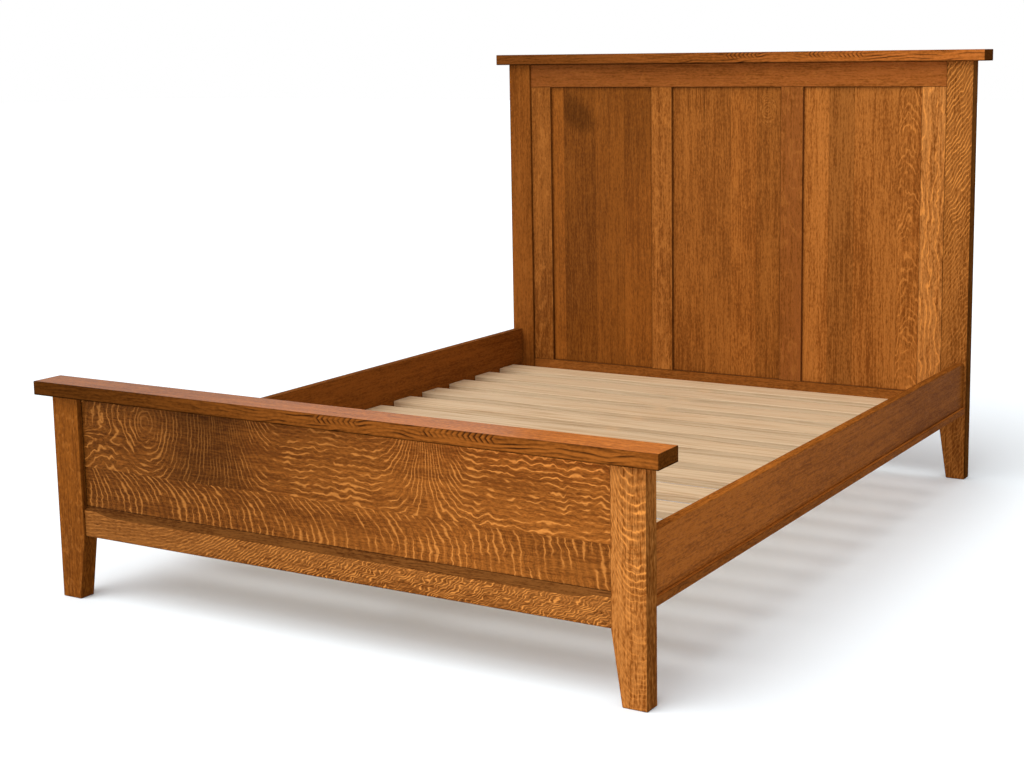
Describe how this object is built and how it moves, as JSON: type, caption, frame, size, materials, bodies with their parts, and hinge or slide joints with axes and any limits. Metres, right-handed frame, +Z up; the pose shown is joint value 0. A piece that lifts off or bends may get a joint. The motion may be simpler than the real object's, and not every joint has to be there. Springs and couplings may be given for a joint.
{
  "type": "bed frame",
  "caption": "Panelled oak bed frame: headboard and footboard under wide caps, tapered posts, hook-on side rails, slatted deck and a centre beam on levelling legs.",
  "frame": {"origin": "floor level, at the middle of the bed's footprint", "axes": "+X across the bed, +Y from the foot to the head, +Z up"},
  "size_m": [1.696, 2.215, 1.308],
  "materials": {
    "oak": "quarter-sawn white oak, amber-brown stain, satin lacquer",
    "deck_wood": "planed, unfinished",
    "dowel_wood": "fluted, unfinished",
    "plate_steel": "zinc plated sheet",
    "fastener_steel": "zinc plated",
    "pad_plastic": "black nylon"
  },
  "bodies": {
    "frame": {"beam_hanger_foot": "plate_steel", "beam_hanger_head": "plate_steel", "cap_dowels": "dowel_wood", "centre_beam": "deck_wood", "foot_bottom_rail": "oak", "foot_cap": "oak", "foot_panel": "oak", "foot_post_left": "oak", "foot_post_right": "oak", "hanger_screws": "fastener_steel", "head_bottom_rail": "oak", "head_cap": "oak", "head_mullion_left": "oak", "head_mullion_right": "oak", "head_panel_left": "oak", "head_panel_middle": "oak", "head_panel_right": "oak", "head_post_left": "oak", "head_post_right": "oak", "head_stile_left": "oak", "head_stile_right": "oak", "head_top_rail": "oak", "hook_plate_foot_left": "plate_steel", "hook_plate_foot_right": "plate_steel", "hook_plate_head_left": "plate_steel", "hook_plate_head_right": "plate_steel", "ledge_screws": "fastener_steel", "leg_bolts": "fastener_steel", "leveller_insert_foot": "fastener_steel", "leveller_insert_head": "fastener_steel", "plate_screws": "fastener_steel", "rail_ledge_left": "oak", "rail_ledge_right": "oak", "side_rail_left": "oak", "side_rail_right": "oak", "slat_01": "deck_wood", "slat_02": "deck_wood", "slat_03": "deck_wood", "slat_04": "deck_wood", "slat_05": "deck_wood", "slat_06": "deck_wood", "slat_07": "deck_wood", "slat_08": "deck_wood", "slat_09": "deck_wood", "slat_10": "deck_wood", "slat_11": "deck_wood", "slat_12": "deck_wood", "slat_13": "deck_wood", "slat_screws": "fastener_steel", "slot_plate_foot_left": "plate_steel", "slot_plate_foot_right": "plate_steel", "slot_plate_head_left": "plate_steel", "slot_plate_head_right": "plate_steel", "support_leg_foot": "deck_wood", "support_leg_head": "deck_wood"},
    "pad_foot": {"leveller_pad_foot": "pad_plastic"},
    "stem_foot": {"leveller_stem_foot": "fastener_steel"},
    "pad_head": {"leveller_pad_head": "pad_plastic"},
    "stem_head": {"leveller_stem_head": "fastener_steel"}
  },
  "joints": [
    {"name": "leveller_foot_height", "type": "slide", "parent": "frame", "child": "pad_foot", "axis": [0, 0, 1], "range_m": [-0.015, 0.009]},
    {"name": "leveller_foot_screw", "type": "hinge", "parent": "pad_foot", "child": "stem_foot", "pos_m": [0.038, -0.35, 0], "axis": [0, 0, 1], "range_deg": [-4325, 2596]},
    {"name": "leveller_head_height", "type": "slide", "parent": "frame", "child": "pad_head", "axis": [0, 0, 1], "range_m": [-0.015, 0.009]},
    {"name": "leveller_head_screw", "type": "hinge", "parent": "pad_head", "child": "stem_head", "pos_m": [0.038, 0.35, 0], "axis": [0, 0, 1], "range_deg": [-4325, 2596]}
  ],
  "couplings": [
    {"joint": "leveller_foot_screw", "follows": "leveller_foot_height", "rad_per_m": 5026.5},
    {"joint": "leveller_head_screw", "follows": "leveller_head_height", "rad_per_m": 5026.5}
  ]
}
